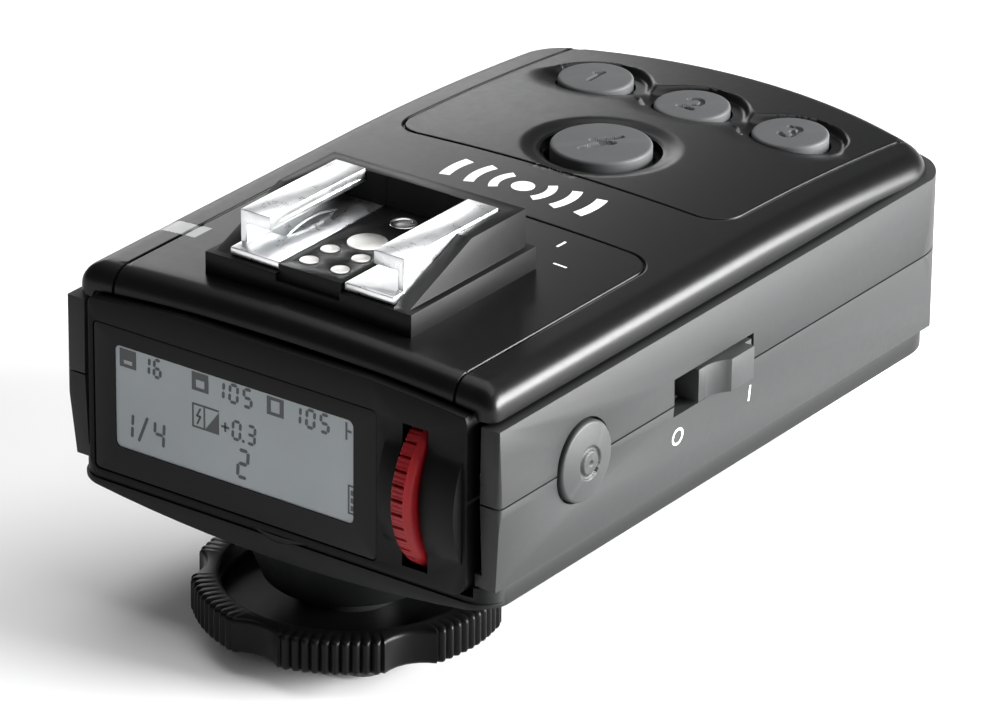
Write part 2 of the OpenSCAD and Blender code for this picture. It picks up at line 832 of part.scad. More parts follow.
module lock_wheel() {
    color("#1a1b1c") {
        difference() {
            translate([0, 0, lock_z]) linear_extrude(lock_h) scallop_ring(13.3);
            for (a = [0:71]) rotate(a * 5 + 2.5)
                translate([lock_r - 0.3, -0.28, lock_z - 1]) cube([2, 0.56, lock_h + 2]);
        }
        translate([0, 0, lock_floor]) linear_extrude(pocket_z - lock_floor) difference() {
            circle(13.5);
            circle(stem_r + 0.08);
        }
    }
}

module clamp_washer() {
    color("#4a4b4d") translate([0, 0, lock_z]) linear_extrude(0.75) difference() {
        circle(12.6);
        circle(stem_r + 0.08);
    }
}

top_cover();
upper_shell();
lower_shell();
base_plate();
battery_door();
front_panel();
display_window();
lcd_panel();
lcd_holder();
display_board();
select_wheel();
wheel_axle();
wheel_bracket();
light_lens();
shoe_base();
shoe_rails();
shoe_deck();
shoe_springs();
centre_contact();
side_contacts();
shoe_screws();
button_1();
button_2();
button_3();
test_button();
select_button();
power_slider();
slide_switch();
main_board();
side_board();
push_switches();
side_push_switch();
radio_module();
antenna();
battery_tray();
cells();
cell_springs();
cell_plates();
case_screws();
board_screws();
pedestal();
foot_stem();
foot_plate();
foot_contacts();
lock_wheel();
clamp_washer();
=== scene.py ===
import json
import math

import bmesh
import bpy
from mathutils import Matrix, Vector
from mathutils.geometry import delaunay_2d_cdt


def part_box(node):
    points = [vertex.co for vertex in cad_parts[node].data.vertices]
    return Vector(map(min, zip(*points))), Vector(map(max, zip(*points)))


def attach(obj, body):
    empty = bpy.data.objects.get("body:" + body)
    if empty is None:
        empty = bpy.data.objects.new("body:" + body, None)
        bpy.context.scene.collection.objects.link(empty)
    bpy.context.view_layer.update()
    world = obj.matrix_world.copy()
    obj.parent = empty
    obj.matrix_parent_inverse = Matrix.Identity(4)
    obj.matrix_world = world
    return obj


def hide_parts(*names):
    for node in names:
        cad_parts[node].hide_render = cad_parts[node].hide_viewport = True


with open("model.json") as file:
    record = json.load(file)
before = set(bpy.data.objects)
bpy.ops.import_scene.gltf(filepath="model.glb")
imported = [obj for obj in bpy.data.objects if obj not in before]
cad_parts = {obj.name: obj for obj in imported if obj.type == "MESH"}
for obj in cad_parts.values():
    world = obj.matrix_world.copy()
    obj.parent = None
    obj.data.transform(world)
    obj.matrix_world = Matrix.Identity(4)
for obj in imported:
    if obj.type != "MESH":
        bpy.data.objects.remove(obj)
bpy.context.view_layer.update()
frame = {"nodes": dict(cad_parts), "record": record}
scene = bpy.context.scene
NODES = frame["nodes"]
BODIES = frame["record"]["behaviour"]["bodies"]
BODY_OF = {n: b for b, ns in BODIES.items() for n in ns}
SLOT_OF = {s["node"]: s["material_slot"] for s in frame["record"]["subparts"]}
MM = 0.001


def box_mm(node):
    """Lowest and highest corner of a CAD node, in millimetres."""
    return [[round(v / MM, 2) for v in corner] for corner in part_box(node)]


def centre_mm(node):
    low, high = box_mm(node)
    return [round((a + b) / 2, 2) for a, b in zip(low, high)]


# ---------------------------------------------------------------- materials

def new_material(name):
    """An empty node material: the material, its node tree and its Principled shader."""
    mat = bpy.data.materials.new(name)
    mat.use_nodes = True
    tree = mat.node_tree
    tree.nodes.clear()
    out = tree.nodes.new("ShaderNodeOutputMaterial")
    shader = tree.nodes.new("ShaderNodeBsdfPrincipled")
    tree.links.new(shader.outputs[0], out.inputs[0])
    return mat, tree, shader


def noise(tree, scale, detail=3.0, roughness=0.5):
    """Cloudy noise over the object. scale is in cells a metre."""
    coord = tree.nodes.new("ShaderNodeTexCoord")
    node = tree.nodes.new("ShaderNodeTexNoise")
    node.inputs["Scale"].default_value = scale
    node.inputs["Detail"].default_value = detail
    node.inputs["Roughness"].default_value = roughness
    tree.links.new(coord.outputs["Object"], node.inputs["Vector"])
    return node.outputs["Fac"]


def ramp(tree, source, low, high, start=0.3, end=0.7):
    """Maps source from start and end to low and high."""
    node = tree.nodes.new("ShaderNodeMapRange")
    node.inputs["From Min"].default_value = start
    node.inputs["From Max"].default_value = end
    node.inputs["To Min"].default_value = low
    node.inputs["To Max"].default_value = high
    tree.links.new(source, node.inputs["Value"])
    return node.outputs[0]


def mix_colour(tree, factor, a, b):
    """Blends from a to b. Each is a colour of three numbers, or a colour output."""
    node = tree.nodes.new("ShaderNodeMix")
    node.data_type = "RGBA"
    for place, colour in ((6, a), (7, b)):
        if isinstance(colour, tuple):
            node.inputs[place].default_value = (*colour, 1)
        else:
            tree.links.new(colour, node.inputs[place])
    tree.links.new(factor, node.inputs[0])
    return node.outputs[2]


def edge_wear(tree):
    """0 on faces, rising to 1 on outer edges."""
    node = tree.nodes.new("ShaderNodeNewGeometry")
    return ramp(tree, node.outputs["Pointiness"], 0.0, 1.0, 0.52, 0.6)


def bump(tree, shader, height, strength, distance):
    """Fine relief. distance is its depth in metres at full strength."""
    node = tree.nodes.new("ShaderNodeBump")
    node.inputs["Strength"].default_value = strength
    node.inputs["Distance"].default_value = distance
    tree.links.new(height, node.inputs["Height"])
    tree.links.new(node.outputs[0], shader.inputs["Normal"])


def plastic(name, colour, rough, grain=0.0, grain_size=0.12, specular=0.5, worn=0.25):
    """Moulded plastic: fine grain, small gloss changes, and slightly paler rubbed edges."""
    mat, tree, shader = new_material(name)
    darker = tuple(c * 0.9 for c in colour)
    lighter = tuple(min(1, c * 1.12) for c in colour)
    pale = tuple(min(1.0, c + worn * 0.12 * (1 - c)) for c in colour)
    base = mix_colour(tree, noise(tree, 90, 4), darker, lighter)
    tree.links.new(mix_colour(tree, edge_wear(tree), base, pale), shader.inputs["Base Color"])
    gloss = ramp(tree, noise(tree, 1100, 4, 0.6), rough - 0.02, rough + 0.025)
    tree.links.new(gloss, shader.inputs["Roughness"])
    shader.inputs["Specular IOR Level"].default_value = specular
    if grain:
        bump(tree, shader, noise(tree, 1000 / grain_size, 2, 0.5), grain, 0.00002)
    return mat


def metal(name, colour, rough):
    """Metal with a faint haze and small tone changes."""
    mat, tree, shader = new_material(name)
    dark = tuple(c * 0.9 for c in colour)
    tree.links.new(mix_colour(tree, noise(tree, 400, 4), dark, colour), shader.inputs["Base Color"])
    shader.inputs["Metallic"].default_value = 1.0
    grain = noise(tree, 700, 4, 0.6)
    tree.links.new(ramp(tree, grain, max(0.02, rough - 0.05), rough + 0.07), shader.inputs["Roughness"])
    bump(tree, shader, grain, 0.05, 0.00001)
    return mat


# Plastics take a colour, roughness, grain, grain size, specular level and wear; metals a colour and roughness.
MATS = {
    "cover_black": plastic("cover_plastic", (0.0025, 0.0025, 0.0027), 0.32, 0.1, 0.10, 0.2, 0.02),
    "shell_black": plastic("shell_plastic", (0.015, 0.0153, 0.0158), 0.5, 0.4, 0.14, 0.22, 0.03),
    "base_black": plastic("base_plastic", (0.006, 0.0062, 0.0065), 0.5, 0.35, 0.14, 0.15, 0.02),
    "panel_black": plastic("panel_plastic", (0.003, 0.0031, 0.0032), 0.42, 0.15, 0.12, 0.09, 0.02),
    "lcd": plastic("lcd_sheet", (0.5, 0.54, 0.55), 0.3, 0.0, worn=0.0),
    "white_plastic": plastic("diffuser_plastic", (0.8, 0.81, 0.78), 0.4, 0.2),
    "board_green": plastic("board_mask", (0.02, 0.12, 0.06), 0.35, 0.3, 0.3),
    "dial_red": plastic("dial_plastic", (0.21, 0.006, 0.009), 0.45, 0.15, 0.1, 0.2, 0.0),
    "steel": metal("turned_steel", (0.6, 0.6, 0.61), 0.28),
    "inner_black": plastic("inner_plastic", (0.02, 0.02, 0.021), 0.5, 0.4),
    "lens": plastic("lens_plastic", (0.27, 0.28, 0.275), 0.25, 0.0, worn=0.0),
    "shoe_black": plastic("shoe_plastic", (0.0025, 0.0025, 0.0027), 0.36, 0.15, 0.1, 0.1, 0.05),
    "rail_chrome": metal("rail_plating", (0.86, 0.87, 0.88), 0.3),
    "contact_metal": metal("contact_plating", (0.85, 0.84, 0.81), 0.4),
    "button_grey": plastic("button_rubber", (0.064, 0.0652, 0.0672), 0.55, 0.3, 0.12, 0.22, 0.05),
    "select_grey": plastic("select_plastic", (0.021, 0.0214, 0.022), 0.5, 0.3, 0.12, 0.28, 0.05),
    "slider_grey": plastic("slider_plastic", (0.019, 0.0194, 0.02), 0.5, 0.3, 0.12, 0.24, 0.05),
    "shield": metal("tin_plate", (0.7, 0.7, 0.68), 0.35),
    "copper": metal("copper_strip", (0.8, 0.5, 0.3), 0.3),
    "cell_wrap": plastic("cell_sleeve", (0.4, 0.26, 0.05), 0.25, 0.1),
    "foot_black": plastic("foot_plastic", (0.014, 0.014, 0.015), 0.42, 0.3),
    "wheel_black": plastic("wheel_plastic", (0.0025, 0.0025, 0.0027), 0.36, 0.15, 0.12, 0.1, 0.02),
}

window_mat, tree, shader = new_material("window_glass")
shader.inputs["Base Color"].default_value = (0.9, 0.95, 0.92, 1)
shader.inputs["Transmission Weight"].default_value = 1.0
shader.inputs["IOR"].default_value = 1.3
tree.links.new(ramp(tree, noise(tree, 300), 0.02, 0.05), shader.inputs["Roughness"])
MATS["window"] = window_mat

MATS["window_border"] = plastic("window_print", (0.002, 0.003, 0.002), 0.14, 0.0, worn=0.0, specular=0.12)
MATS["print_white"] = plastic("print_ink", (0.86, 0.86, 0.86), 0.45, 0.2, 0.1, worn=0.0)
MATS["lcd_segment"] = plastic("lcd_ink", (0.022, 0.025, 0.028), 0.3, 0.0, worn=0.0)
MATS["lcd_face"] = plastic("lcd_glass", (0.285, 0.31, 0.325), 0.3, 0.0, worn=0.0, specular=0.2)


# ---------------------------------------------------------------- mesh tools (millimetres in, metres out)

def finish_piece(obj, node, sharp, mat=None):
    """Smooth shading with sharp creases, and the finish and body of the node that the piece belongs to."""
    mesh = obj.data
    mesh.polygons.foreach_set("use_smooth", [True] * len(mesh.polygons))
    mesh.set_sharp_from_angle(angle=math.radians(sharp))
    mesh.materials.append(mat or MATS[SLOT_OF[node]])
    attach(obj, BODY_OF[node])


def make(name, verts, faces, node, mat=None, sharp=30, stands=False):
    """A piece of node's body from points in millimetres. stands says that it is shown instead of the node."""
    mesh = bpy.data.meshes.new(name)
    mesh.from_pydata([(x * MM, y * MM, z * MM) for x, y, z in verts], [], faces)
    bm = bmesh.new()
    bm.from_mesh(mesh)
    bmesh.ops.remove_doubles(bm, verts=bm.verts, dist=1e-7)
    bmesh.ops.recalc_face_normals(bm, faces=bm.faces)
    bm.to_mesh(mesh)
    bm.free()
    obj = bpy.data.objects.new(name, mesh)
    scene.collection.objects.link(obj)
    finish_piece(obj, node, sharp, mat)
    if stands:
        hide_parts(node)


def soften(node, width):
    """Copy of a CAD node with rounded edges, standing for it."""
    bm = bmesh.new()
    bm.from_mesh(NODES[node].data)
    bmesh.ops.remove_doubles(bm, verts=bm.verts, dist=2e-6)
    bmesh.ops.dissolve_limit(bm, angle_limit=math.radians(0.8), verts=bm.verts, edges=bm.edges)
    edges = [e for e in bm.edges
             if len(e.link_faces) == 2 and e.calc_face_angle(0) > math.radians(28)]
    bmesh.ops.bevel(bm, geom=edges, offset=width * MM, segments=2, profile=0.5,
                    affect="EDGES", clamp_overlap=True)
    bmesh.ops.triangulate(bm, faces=[f for f in bm.faces if len(f.verts) > 4])
    mesh = bpy.data.meshes.new(node + "_body")
    bm.to_mesh(mesh)
    bm.free()
    obj = bpy.data.objects.new(mesh.name, mesh)
    scene.collection.objects.link(obj)
    finish_piece(obj, node, 35)
    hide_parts(node)


def smooth(low, high, value):
    """Rises from 0 at low to 1 at high with soft ends."""
    t = min(1.0, max(0.0, (value - low) / (high - low)))
    return t * t * (3 - 2 * t)


def revolve(profile, steps, axis_at, axis="z", radius=None):
    """Turned closed solid. profile is (r, h) pairs from axis to axis; radius(r, h, angle) may vary it."""
    verts, faces = [], []
    n = len(profile)
    for i in range(steps):
        a = 2 * math.pi * i / steps
        for r, h in profile:
            rr = radius(r, h, a) if radius else r
            c, s = rr * math.cos(a), rr * math.sin(a)
            if axis == "z":
                verts.append((axis_at[0] + c, axis_at[1] + s, axis_at[2] + h))
            else:
                verts.append((axis_at[0] + h, axis_at[1] + c, axis_at[2] + s))
    for i in range(steps):
        j = (i + 1) % steps
        for k in range(n - 1):
            faces.append((i * n + k, j * n + k, j * n + k + 1, i * n + k + 1))
    return verts, faces


def distance_to_strokes(x, y, strokes):
    """Distance from a point to the nearest of some straight strokes."""
    best = 1e9
    for (ax, ay), (bx, by) in strokes:
        dx, dy = bx - ax, by - ay
        t = min(1.0, max(0.0, ((x - ax) * dx + (y - ay) * dy) / (dx * dx + dy * dy + 1e-12)))
        best = min(best, math.hypot(x - ax - t * dx, y - ay - t * dy))
    return best


def polyline(points):
    """Strokes that join the points in turn."""
    return list(zip(points[:-1], points[1:]))


def arc_points(cx, cy, r, a0, a1, n):
    """n steps along an arc from angle a0 to a1, in degrees."""
    return [(cx + r * math.cos(math.radians(a0 + (a1 - a0) * i / n)),
             cy + r * math.sin(math.radians(a0 + (a1 - a0) * i / n))) for i in range(n + 1)]


def button_mesh(radius, top, bottom, strokes, half_stroke, depth, dome, edge=0.32):
    """Round key with a softly domed face, rounded rim and engraved strokes, around the origin."""
    points, height = [], []
    step = 0.13

    def face_z(x, y):
        d = distance_to_strokes(x, y, strokes)
        engraved = depth * (1 - smooth(half_stroke - 0.07, half_stroke + 0.07, d))
        return top - dome * (x * x + y * y) / radius ** 2 - engraved

    flat = radius - edge
    n = int(flat / step) + 1
    for i in range(-n, n + 1):
        for j in range(-n, n + 1):
            x, y = i * step, j * step
            if math.hypot(x, y) < flat - 0.5 * step:
                points.append((x, y))
                height.append((x, y, face_z(x, y)))
    steps = 96
    rings = [(flat, 0.0, 0.0)]
    for k in range(1, 6):
        a = math.radians(90 * k / 5)
        rings.append((flat + 0.1 * k, edge * math.sin(a), edge * (1 - math.cos(a))))
    rings.append((flat + 0.8, edge, top - dome - bottom))
    for grown, out, down in rings:
        for k in range(steps):
            a = 2 * math.pi * (k + 0.5) / steps
            c, s = math.cos(a), math.sin(a)
            points.append((grown * c, grown * s))
            r = flat + out
            height.append((r * c, r * s, top - dome * (flat / radius) ** 2 - down))
    result = delaunay_2d_cdt([Vector(p) for p in points], [], [], 0, 1e-7)
    verts = [height[o[0]] for o in result[3]]
    return verts, [tuple(f) for f in result[2]]


# ---------------------------------------------------------------- cover

COVER_LOW, COVER_HIGH = box_mm("top_cover")
LENS_LOW, LENS_HIGH = box_mm("light_lens")
TEST_HIGH, KEY_HIGH = box_mm("test_button")[1], box_mm("button_2")[1]
PITCH = round(box_mm("button_3")[1][0] - KEY_HIGH[0], 2)
CHANNEL_Y = centre_mm("button_2")[1]
TEST_Y = centre_mm("test_button")[1]
CHANNELS = (-1, 0, 1)

COVER_HW, COVER_BACK, TOP_Z = COVER_HIGH
COVER_FRONT = COVER_LOW[1]
CROWN_R = 315.0                             # radius of the cover across the case
FALL_R, FALL_Y = 356.0, 31.5                # radius of its fall to the back, and where the fall starts
BACK_R, BACK_CORNER = 61.4, 6.4             # radii of the bowed back and of its corners
EDGE_R = 2.3                                # radius of the rounded edge
WALL_FOOT = 34.0                            # foot of the cover's outer wall
LINE_HW, LINE_CORNER = 21.2, 3.6            # engraved zone lines: half width and corner radius
LINE_ENDS = ((23.45, -1), (35.05, 1))       # where each line crosses the cover, and which way it then runs
LINE_DEPTH = 0.3

INNER_HW, INNER_FRONT = COVER_HW - EDGE_R, COVER_FRONT + EDGE_R
ARC_Y = COVER_BACK - BACK_R
CORNER_X = COVER_HW - BACK_CORNER
CORNER_Y = ARC_Y + math.sqrt((BACK_R - BACK_CORNER) ** 2 - CORNER_X ** 2)
ARC_END = math.atan2(CORNER_X, CORNER_Y - ARC_Y)
LENS_EDGES = (-0.3, -0.16, -0.1, -0.05, 2.85, 2.9, 2.96, 3.1)   # rows beside the lens's two edges


def cover_height(x, y):
    z = TOP_Z - (CROWN_R - math.sqrt(CROWN_R ** 2 - x * x))
    if y > FALL_Y:
        z -= FALL_R - math.sqrt(FALL_R ** 2 - (y - FALL_Y) ** 2)
    return z


def zone_distance(x, y):
    """Distance to the nearest engraved zone line."""
    best = 9.0
    for edge_y, side in LINE_ENDS:
        dy = (y - edge_y) * side
        cx = LINE_HW - LINE_CORNER
        ax = abs(x)
        if dy < LINE_CORNER and ax > cx:
            d = abs(math.hypot(ax - cx, dy - LINE_CORNER) - LINE_CORNER)
        elif dy >= LINE_CORNER:
            d = abs(ax - LINE_HW)
        else:
            d = abs(dy)
        best = min(best, d)
    return best


def line_cut(x, y):
    return LINE_DEPTH * (1 - smooth(0.05, 0.2, zone_distance(x, y)))


def key_distance(x, y):
    """Distance to the middle of the nearest channel key."""
    return min(math.hypot(x - i * PITCH, y - CHANNEL_Y) for i in CHANNELS)


def scoop_distance(x, y):
    """Signed distance to the joined outline of the three channel scoops."""
    d = 1e9
    for i in CHANNELS:
        circle = math.hypot(x - i * PITCH - 0.05 * i, y - CHANNEL_Y - 0.25) - 5.85
        blend = max(3.3 - abs(circle - d), 0) / 3.3
        d = min(d, circle) - blend * blend * 3.3 / 4
    return d


NOTCHES = [((-5.95, 58.7), (-4.3, 57.1)), ((6.75, 58.5), (8.4, 57.0))]


def relief(x, y):
    """How far the cover is cut below its plain surface."""
    cut = line_cut(x, y)
    r = math.hypot(x, y - TEST_Y)
    if r < 10:
        cut += 0.4 * (1 - smooth(6.7, 8.7, r)) + 0.12 * (1 - smooth(6.48, 6.8, r))
        if r < 6.47:
            cut += 1.1
    if y > 48 and abs(x) < 21:
        d = scoop_distance(x, y)
        soft = smooth(0, 3.6, 61.8 - y)
        wall = 1 - smooth(-0.45 - 2.4 * soft, 0.18 + 1.9 * soft, d)
        cut += 0.85 * smooth(53.0, 60.5, y) * wall
        if key_distance(x, y) < 4.36:
            cut += 1.6
        cut += 0.28 * (1 - smooth(0.02, 0.28, distance_to_strokes(x, y, NOTCHES)))
    return cut


def perimeter_stations():
    """Places of the cover's rounded edge, in order round the outline: (kind, side, value)."""
    stations = []
    fine = [round(-LINE_HW + o, 2) for o in (-0.18, -0.1, -0.04, 0, 0.04, 0.1, 0.18)]
    xs = [-INNER_HW + 0.01 + i * (2 * INNER_HW - 0.02) / 46 for i in range(47)]
    xs = [v for v in xs if abs(abs(v) - LINE_HW) > 0.35] + fine + [-v for v in fine]
    stations += [("front", 1, x) for x in sorted(xs)]
    turn = [math.radians(-90 + 10 * k) for k in range(1, 10)]
    stations += [("front_corner", 1, a) for a in turn]
    ys = [INNER_FRONT + 0.01 + i * (CORNER_Y - INNER_FRONT - 0.02) / 80 for i in range(81)]
    stations += [("side", 1, y) for y in ys]
    span = math.pi / 2 - ARC_END
    stations += [("back_corner", 1, span * k / 15) for k in range(1, 15)]
    stations += [("back", 1, ARC_END - 2 * ARC_END * k / 40) for k in range(41)]
    stations += [("back_corner", -1, span * k / 15) for k in range(14, 0, -1)]
    ys = [v for v in ys if min(abs(v - w) for w in LENS_EDGES) > 0.3] + list(LENS_EDGES)
    stations += [("side", -1, y) for y in sorted(ys, reverse=True)]
    stations += [("front_corner", -1, a) for a in reversed(turn)]
    return stations


def station_point(kind, side, value, out):
    """Plan point of a station out millimetres beyond the edge's inner line, and its outward direction."""
    c, n = math.cos(value), math.sin(value)
    if kind == "front":
        return (value, INNER_FRONT - out), (0, -1)
    if kind == "front_corner":
        swell = 1 / (abs(c) ** 4 + abs(n) ** 4) ** 0.25
        return (side * (INNER_HW + out * swell * c), INNER_FRONT + out * swell * n), (side * c, n)
    if kind == "side":
        return (side * (INNER_HW + out), value), (side, 0)
    if kind == "back_corner":
        r = BACK_CORNER - EDGE_R + out
        return (side * (CORNER_X + r * c), CORNER_Y + r * n), (side * c, n)
    r = BACK_R - EDGE_R + out
    return (r * n, ARC_Y + r * c), (n, c)


def edge_points():
    """The rounded edge and the wall below it, as (flat place, point) pairs."""
    for kind, side, value in perimeter_stations():
        engraved = (kind, side) != ("side", -1)
        for a in (0, 8, 16, 24, 32, 41, 50, 59, 68, 78, 90):
            u, up = math.sin(math.radians(a)), math.cos(math.radians(a))
            (x, y), (nx, ny) = station_point(kind, side, value, EDGE_R * u)
            z = cover_height(x, y) - EDGE_R * (1 - up)
            cut = line_cut(x, y) if engraved else 0
            x, y, z = x - nx * u * cut, y - ny * u * cut, z - math.sqrt(1 - u * u) * cut
            yield station_point(kind, side, value, EDGE_R * math.radians(a))[0], (x, y, z)
        foot = 36.05 - x * x / 460 if abs(x) < 23.85 and y < 0 else WALL_FOOT
        foot = min(foot, z - 0.05)
        for k in (1, 2, 3):
            flat, _ = station_point(kind, side, value, EDGE_R * math.radians(90) + 0.6 * k)
            yield flat, (x, y, z + (foot - z) * k / 3)


def inside(x, y, margin):
    """Whether a place is on the crown, at least margin from the rounded edge."""
    if abs(x) > INNER_HW - margin or y < INNER_FRONT + margin:
        return False
    if math.hypot(x, y - ARC_Y) > BACK_R - EDGE_R - margin:
        return False
    if abs(x) > CORNER_X and y > CORNER_Y:
        return math.hypot(abs(x) - CORNER_X, y - CORNER_Y) < BACK_CORNER - EDGE_R - margin
    return True


def zone_line_places():
    """Rows of places along both engraved lines, close together across each line."""
    cx = LINE_HW - LINE_CORNER
    for (edge_y, side), far_y in zip(LINE_ENDS, (INNER_FRONT, COVER_BACK)):
        path = []
        steps = int(abs(far_y - edge_y - side * LINE_CORNER) / 0.45)
        for s in (1, -1):
            for i in range(steps + 1):
                run = LINE_CORNER + (abs(far_y - edge_y) - LINE_CORNER) * i / steps
                path.append(((s * LINE_HW, edge_y + side * run), (s, 0)))
            for i in range(1, 14):
                a = math.radians(90 * i / 14)
                c, n = math.cos(a), math.sin(a)
                corner = (s * (cx + LINE_CORNER * c), edge_y + side * (LINE_CORNER - LINE_CORNER * n))
                path.append((corner, (s * c, -side * n)))
        path += [((-cx + 2 * cx * i / 80, edge_y), (0, -side)) for i in range(81)]
        for (x, y), (nx, ny) in path:
            for o in (-0.34, -0.21, -0.16, -0.11, -0.06, 0, 0.06, 0.11, 0.16, 0.21, 0.34):
                yield x + nx * o, y + ny * o


def key_well_places():
    """Rings of places round the keys."""
    test_radii = (6.4, 6.46, 6.48, 6.56, 6.66, 6.78, 6.95, 7.15, 7.4, 7.7, 8.0, 8.3, 8.6, 8.9)
    rings = [(0, TEST_Y, test_radii, 140)]
    rings += [(i * PITCH, CHANNEL_Y, (4.3, 4.35, 4.37, 4.6, 4.9), 96) for i in CHANNELS]
    for cx, cy, radii, steps in rings:
        for r in radii:
            for i in range(steps):
                a = 2 * math.pi * i / steps
                yield cx + r * math.cos(a), cy + r * math.sin(a)


def plain_places():
    """A fine grid over the channel scoops, then a coarse one over the rest of the crown."""
    grid, filled = 0.24, set()
    for i in range(int(40 / grid)):
        for j in range(int(19 / grid)):
            x, y = -20 + i * grid, 50.2 + j * grid
            if key_distance(x, y) > 5.0 and scoop_distance(x, y) < 3.6 and zone_distance(x, y) > 0.5:
                yield x, y
                filled.add((round(x), round(y)))
    for i in range(-24, 25):
        for j in range(-9, 74):
            x, y = i + 0.013 * (j % 3), j + 0.017 * (i % 2)
            near_test = math.hypot(x, y - TEST_Y) < 9.2
            if not (near_test or (i, j) in filled or zone_distance(x, y) < 0.6 or key_distance(x, y) < 5.2):
                yield x, y


def lens_places():
    """Rows of places along the edges of the status lens."""
    for y in LENS_EDGES:
        for i in range(8):
            yield LENS_HIGH[0] - 0.5 * i, y
    for x in (-19.5, -19.6, -19.66):
        for i in range(9):
            yield x, LENS_LOW[1] + 3.0 * i / 8


def build_cover():
    """Points of the cover's outside, with the faces of the cover and those of the status lens."""
    pairs = list(edge_points())
    for places in (zone_line_places, key_well_places, plain_places, lens_places):
        for x, y in places():
            if inside(x, y, 0.12):
                pairs.append(((x, y), (x, y, cover_height(x, y) - relief(x, y))))
    result = delaunay_2d_cdt([Vector(flat) for flat, _ in pairs], [], [], 0, 1e-7)
    used = [pairs[o[0]] for o in result[3]]
    cover_faces, lens_faces = [], []
    lens_limit = INNER_HW + EDGE_R * math.radians(78) + 0.01
    for face in result[2]:
        cx = sum(used[v][0][0] for v in face) / 3
        cy = sum(used[v][0][1] for v in face) / 3
        under_key = math.hypot(cx, cy - TEST_Y) < 5.6 or key_distance(cx, cy) < 4.34
        under_shoe = abs(cx) < 12.0 and -6.2 < cy < 13.2
        if LENS_LOW[1] < cy < LENS_HIGH[1] and -lens_limit < cx < LENS_HIGH[0]:
            lens_faces.append(tuple(face))
        elif not (under_key or under_shoe):
            cover_faces.append(tuple(face))
    return [point for _, point in used], cover_faces, lens_faces


def used_only(verts, faces, change=None):
    """Only the points that the faces use, changed if asked, and the faces renumbered to match."""
    keep = sorted({v for f in faces for v in f})
    index = {v: i for i, v in enumerate(keep)}
    out = [verts[v] for v in keep]
    if change:
        out = [change(*p) for p in out]
    return out, [tuple(index[v] for v in f) for f in faces]


cover_verts, cover_faces, lens_faces = build_cover()
verts, faces = used_only(cover_verts, cover_faces)
make("cover_skin", verts, faces, "top_cover", stands=True, sharp=50)
lens_x, lens_y = (LENS_HIGH[0] - COVER_HW) / 2, (LENS_LOW[1] + LENS_HIGH[1]) / 2
verts, faces = used_only(
    cover_verts, lens_faces,
    lambda x, y, z: (lens_x + (x - lens_x) * 0.993, lens_y + (y - lens_y) * 0.97, z - 0.01))
make("status_lens", verts, faces, "light_lens", stands=True, sharp=50)


# ---------------------------------------------------------------- keys

NUMERALS = {
    "1": [(-0.55, 0.75), (0.1, 1.3), (0.1, -1.3)],
    "2": [(-0.85, 0.75)] + arc_points(0, 0.5, 0.85, 160, -35, 8) + [(-0.85, -1.3), (0.9, -1.3)],
    "3": [(-0.8, 1.1)] + arc_points(0.05, 0.62, 0.7, 130, -80, 8) + arc_points(0.0, -0.6, 0.78, 80, -150, 9),
}
BOLT = [(0.9, 2.4), (-1.15, -0.1), (0.35, 0.25), (-0.9, -2.5), (1.25, 0.55), (-0.25, 0.2), (0.9, 2.4)]
RING = polyline(arc_points(0, 0, 1.5, 0, 360, 28)) + [((-0.05, 0), (0.05, 0))]
KEY_R, KEY_FOOT = 4.1, 35.45
TEST_R, TEST_FOOT = 5.4, 36.3
SELECT_R, SELECT_FOOT = 4.3, 25.5
SELECT_HIGH = box_mm("select_button")[1]
_, SELECT_Y, SELECT_Z = centre_mm("select_button")

for index, numeral in zip(CHANNELS, "123"):
    verts, faces = button_mesh(KEY_R, KEY_HIGH[2], KEY_FOOT, polyline(NUMERALS[numeral]), 0.23, 0.32, 0.1)
    make("key_" + numeral, [(x + index * PITCH, y + CHANNEL_Y, z) for x, y, z in verts], faces,
         "button_" + numeral, stands=True, sharp=60)
verts, faces = button_mesh(TEST_R, TEST_HIGH[2], TEST_FOOT, polyline(BOLT), 0.25, 0.34, 0.1)
make("key_test", [(x, y + TEST_Y, z) for x, y, z in verts], faces, "test_button", stands=True, sharp=60)
verts, faces = button_mesh(SELECT_R, SELECT_HIGH[0], SELECT_FOOT, RING, 0.22, 0.28, 0.55, edge=0.4)
make("key_select", [(z, x + SELECT_Y, y + SELECT_Z) for x, y, z in verts], faces, "select_button",
     stands=True, sharp=60)


# ---------------------------------------------------------------- pin socket of the shoe

PIN_Y = 8.9
DECK_Z = box_mm("shoe_deck")[1][2]
pin_profile = [(0, -0.65), (1.43, -0.65), (1.43, -0.06), (1.36, -0.01), (1.1, -0.03), (1.0, -0.12),
               (0.95, -0.38), (0, -0.4)]
verts, faces = revolve(pin_profile, 48, (0, PIN_Y, DECK_Z))
make("pin_socket", verts, faces, "shoe_deck", mat=MATS["steel"], sharp=40)


# ---------------------------------------------------------------- select wheel

DIAL_X = box_mm("select_wheel")[0][0]
_, DIAL_Y, DIAL_Z = centre_mm("select_wheel")
DIAL_R, DIAL_GROOVES = 9.6, 40


def dial_radius(r, h, a):
    """Radius of the wheel's profile at an angle: deep grooves, with finer ones between them."""
    if r < DIAL_R - 0.8 or h > 1.7:
        return r
    turn = a * DIAL_GROOVES / (2 * math.pi) % 1.0
    main = 1 - smooth(0.035, 0.09, abs(turn - 0.5))
    fine = 1 - smooth(0.03, 0.08, abs((turn * 3) % 1.0 - 0.5) / 3)
    return r - 0.36 * main - 0.05 * fine


